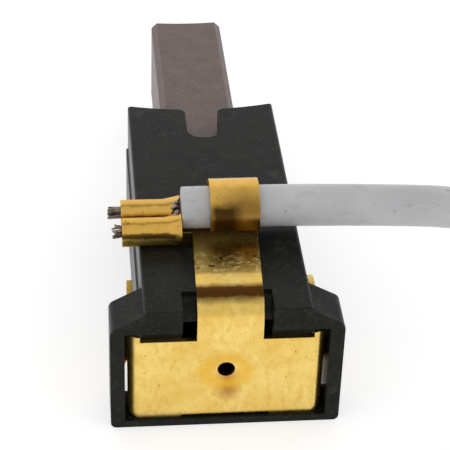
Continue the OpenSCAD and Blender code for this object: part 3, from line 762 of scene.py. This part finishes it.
class BRUSH_OT_spring(bpy.types.Operator):
    """Makes the smooth round-wire spring behind the carbon."""

    bl_idname = "brush.spring"
    bl_label = "Spring"

    def execute(self, context):
        sizes = context.scene.brush_lead
        wire = sizes.spring_wire_d
        start, end = low("spring")[1] + wire / 2, high("spring")[1] - wire / 2
        radius = (high("spring")[0] - low("spring")[0] - wire) / 2
        all_turns = sizes.spring_turns + 2
        turn = np.linspace(0, all_turns, 24 * all_turns + 1)
        rise = np.interp(
            turn, [0, 1, all_turns - 1, all_turns], [start, start + wire, end - wire, end]
        )
        line = np.stack([
            radius * np.cos(2 * np.pi * turn), rise, CAVITY_Z + radius * np.sin(2 * np.pi * turn)
        ], axis=1)
        steel = wire_finish("spring_steel", (0.62, 0.62, 0.62), (0.5, 0.49, 0.47), 0.3)
        tube = tube_points(line, wire / 2, 12, (0, 1, 0))
        spring = put_mesh("spring_wire", [tube], steel, "holder")
        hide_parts("spring")
        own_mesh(spring)
        return {"FINISHED"}


class BRUSH_OT_shunt(bpy.types.Operator):
    """Makes the stranded copper shunt between the dish and the carbon."""

    bl_idname = "brush.shunt"
    bl_label = "Shunt"

    def execute(self, context):
        # the route of the part's source: it leaves the dish beside its middle and bends to the axis
        rest, radius = low("shunt"), 0.5 * MM
        start, end = low("shunt")[1] + 0.1 * MM, high("shunt")[1] - 0.1 * MM
        weld = high("shunt")[2] - radius - CAVITY_Z
        u = np.linspace(0, 1, 60)
        lean = (1 + np.cos(np.pi * np.minimum(1, 1.6 * u))) / 2
        aside = 0.35 * MM * np.sin(2 * np.pi * u) * lean
        axis = np.stack([aside, start + (end - start) * u, CAVITY_Z + weld * lean], axis=1)
        angle = 2 * np.pi * (np.arange(6)[:, None] / 6 + 3.5 * u)
        parts = [tube_points(axis, 0.17 * MM, 8, (0, 0, 1))]
        for turn in angle:
            offset = np.stack([np.cos(turn), 0 * turn, np.sin(turn)], axis=1)
            parts.append(tube_points(axis + 0.32 * MM * offset, 0.165 * MM, 8, (0, 0, 1)))
        copper = wire_finish("copper", (0.75, 0.36, 0.2), (0.4, 0.17, 0.09), 0.35)
        shunt = put_mesh("shunt_rope", parts, copper, "holder")
        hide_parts("shunt")
        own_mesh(shunt)
        return {"FINISHED"}


# Directions towards which the studio's light falls off: the direction, the cosines to it between
# which the light falls, and the share of the light that is left
DIM_PLACES = {
    "ceiling": ((0, 0, 1), 0.7, 0.95, 0.7),
    "wall in front": ((0, -0.94, 0.34), 0.5, 0.95, 0.78),
}


def studio_world(strength):
    """Bright walls with a dimmer ceiling and a dimmer wall in front."""
    world = bpy.data.worlds.new("studio")
    world.use_nodes = True
    nodes, links = world.node_tree.nodes, world.node_tree.links
    background = nodes["Background"]
    place = nodes.new("ShaderNodeTexCoord")
    light = nodes.new("ShaderNodeValue")
    light.outputs["Value"].default_value = strength
    light = light.outputs["Value"]
    for direction, start, end, left in DIM_PLACES.values():
        cosine = nodes.new("ShaderNodeVectorMath")
        cosine.operation = "DOT_PRODUCT"
        cosine.inputs[1].default_value = direction
        links.new(place.outputs["Generated"], cosine.inputs[0])
        fall = nodes.new("ShaderNodeMapRange")
        fall.interpolation_type = "SMOOTHSTEP"
        fall.inputs["From Min"].default_value = start
        fall.inputs["From Max"].default_value = end
        fall.inputs["To Min"].default_value = 1.0
        fall.inputs["To Max"].default_value = left
        links.new(cosine.outputs["Value"], fall.inputs["Value"])
        dimmed = nodes.new("ShaderNodeMath")
        dimmed.operation = "MULTIPLY"
        links.new(fall.outputs["Result"], dimmed.inputs[0])
        links.new(light, dimmed.inputs[1])
        light = dimmed.outputs["Value"]
    links.new(light, background.inputs["Strength"])
    background.inputs["Color"].default_value = (1, 1, 1, 1)
    bpy.context.scene.world = world


class BRUSH_OT_stage(bpy.types.Operator):
    """Makes the pale floor, the soft light and the camera."""

    bl_idname = "brush.stage"
    bl_label = "Stage"

    def execute(self, context):
        sizes = context.scene.brush_stage
        half = sizes.floor / 2
        mesh = bpy.data.meshes.new("floor")
        corners = [(-half, -half, 0), (half, -half, 0), (half, half, 0), (-half, half, 0)]
        mesh.from_pydata(corners, [], [(0, 1, 2, 3)])
        mesh.materials.append(stage_finish("paper"))
        floor = bpy.data.objects.new("floor", mesh)
        context.scene.collection.objects.link(floor)
        studio_world(sizes.light)
        self.camera(context, sizes.lens)
        context.scene.view_settings.view_transform = "Standard"
        return {"FINISHED"}

    def camera(self, context, lens):
        """Camera behind the holder and above it, turned a little to the right and rolled."""
        data = bpy.data.cameras.new("camera")
        data.sensor_width = 36
        data.lens = lens
        camera = bpy.data.objects.new("camera", data)
        place = MM * np.array([-10.6, -95.25, 86.0]) + np.array([0, REAR_Y, 0])
        yaw, pitch, roll = math.radians(6.05), math.radians(35.34), math.radians(1.92)
        aim = Matrix.Rotation(-yaw, 4, "Z") @ Matrix.Rotation(math.pi / 2 - pitch, 4, "X")
        camera.matrix_world = Matrix.Translation(place) @ aim @ Matrix.Rotation(roll, 4, "Z")
        context.scene.collection.objects.link(camera)
        context.scene.camera = camera


class BRUSH_PT_panel(bpy.types.Panel):
    """Lists the pieces and their sizes."""

    bl_label = "Carbon brush"
    bl_idname = "BRUSH_PT_panel"
    bl_space_type = "VIEW_3D"
    bl_region_type = "UI"
    bl_category = "Brush"

    def draw(self, context):
        for operator in OPERATORS:
            self.layout.operator(operator.bl_idname)
        for name, group in GROUPS.items():
            box = self.layout.box()
            for prop in group.__annotations__:
                box.prop(getattr(context.scene, name), prop)


GROUPS = {
    "brush_brass": BrassFinish,
    "brush_mouldings": MouldingFinish,
    "brush_lead": LeadSizes,
    "brush_stage": StageSizes,
}
OPERATORS = (
    BRUSH_OT_holder, BRUSH_OT_clip, BRUSH_OT_carbon, BRUSH_OT_lead, BRUSH_OT_strands,
    BRUSH_OT_spring, BRUSH_OT_shunt, BRUSH_OT_stage,
)


def register():
    """Registers the groups, the operators and the panel."""
    for kind in (*GROUPS.values(), *OPERATORS, BRUSH_PT_panel):
        bpy.utils.register_class(kind)
    for name, group in GROUPS.items():
        setattr(bpy.types.Scene, name, PointerProperty(type=group))


def unregister():
    """Undoes register."""
    for name in GROUPS:
        delattr(bpy.types.Scene, name)
    for kind in reversed((*GROUPS.values(), *OPERATORS, BRUSH_PT_panel)):
        bpy.utils.unregister_class(kind)


def main():
    """Dresses the part piece by piece."""
    register()
    bpy.ops.brush.holder()
    bpy.ops.brush.clip()
    bpy.ops.brush.carbon()
    bpy.ops.brush.lead()
    bpy.ops.brush.strands()
    bpy.ops.brush.spring()
    bpy.ops.brush.shunt()
    bpy.ops.brush.stage()


if __name__ == "__main__":
    main()
